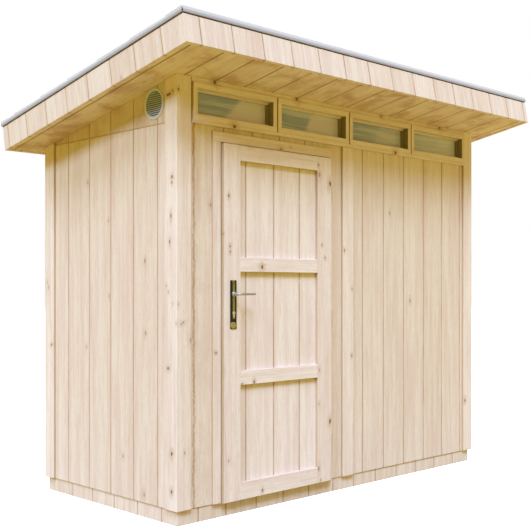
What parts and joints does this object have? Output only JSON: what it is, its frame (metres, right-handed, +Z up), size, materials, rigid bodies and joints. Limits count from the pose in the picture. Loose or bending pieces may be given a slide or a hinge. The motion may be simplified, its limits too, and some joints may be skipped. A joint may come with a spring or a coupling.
{
  "type": "garden storage shed",
  "caption": "Timber garden shed: one-slope roof with deep eaves, row of fixed windows under them, hinged outward door with lever handles, round side vent.",
  "frame": {"origin": "on the ground under the middle of the roof's plan", "axes": "+X along the front to the right, +Y to the rear, +Z up; the door and windows face -Y"},
  "size_m": [2.776, 1.5802, 2.2991],
  "materials": {
    "timber": "planed, untreated",
    "glass": "clear",
    "covering": "mineral felt",
    "vent": "satin",
    "plate": "satin",
    "lever": "satin",
    "brass": "satin",
    "hinge": "zinc plated"
  },
  "bodies": {
    "shed": {"plinth_front": "timber", "plinth_rear": "timber", "plinth_left": "timber", "plinth_right": "timber", "floor_joists": "timber", "floor": "timber", "corner_post_front_left": "timber", "corner_post_rear_left": "timber", "corner_post_front_right": "timber", "corner_post_rear_right": "timber", "middle_post": "timber", "front_wall_left": "timber", "front_wall_middle": "timber", "front_wall_right": "timber", "front_wall_over_door": "timber", "rear_wall": "timber", "left_wall": "timber", "right_wall": "timber", "left_gable": "timber", "right_gable": "timber", "bottom_plates": "timber", "top_plates": "timber", "wall_studs": "timber", "door_casing_sides": "timber", "door_casing_head": "timber", "door_stops": "timber", "door_lintel": "timber", "threshold": "timber", "window_sill": "timber", "window_header": "timber", "window_frames": "timber", "window_glass": "glass", "window_mullions": "timber", "fascia_front": "timber", "fascia_rear": "timber", "fascia_left": "timber", "fascia_right": "timber", "soffit": "timber", "roof_deck": "timber", "roof_rafters": "timber", "roof_covering": "covering", "hinge_frame_halves": "hinge", "vent_grille": "vent"},
    "door": {"door_boards": "timber", "door_stile_left": "timber", "door_stile_right": "timber", "door_rails": "timber", "handle_plates": "plate", "lock_cylinder": "brass", "hinge_leaf_halves": "hinge"},
    "handle": {"lever_outer": "lever", "lever_inner": "lever", "spindle": "lever"}
  },
  "joints": [
    {"name": "door_hinge", "type": "hinge", "parent": "shed", "child": "door", "pos_m": [-0.149, -0.50711, 0.9], "axis": [0, 0, 1], "range_deg": [0, 110]},
    {"name": "handle_turn", "type": "hinge", "parent": "door", "child": "handle", "pos_m": [-0.864, -0.51011, 1.071], "axis": [0, 1, 0], "range_deg": [0, 40], "stiffness_Nm_per_rad": 1.5, "springref_deg": -34.38}
  ]
}
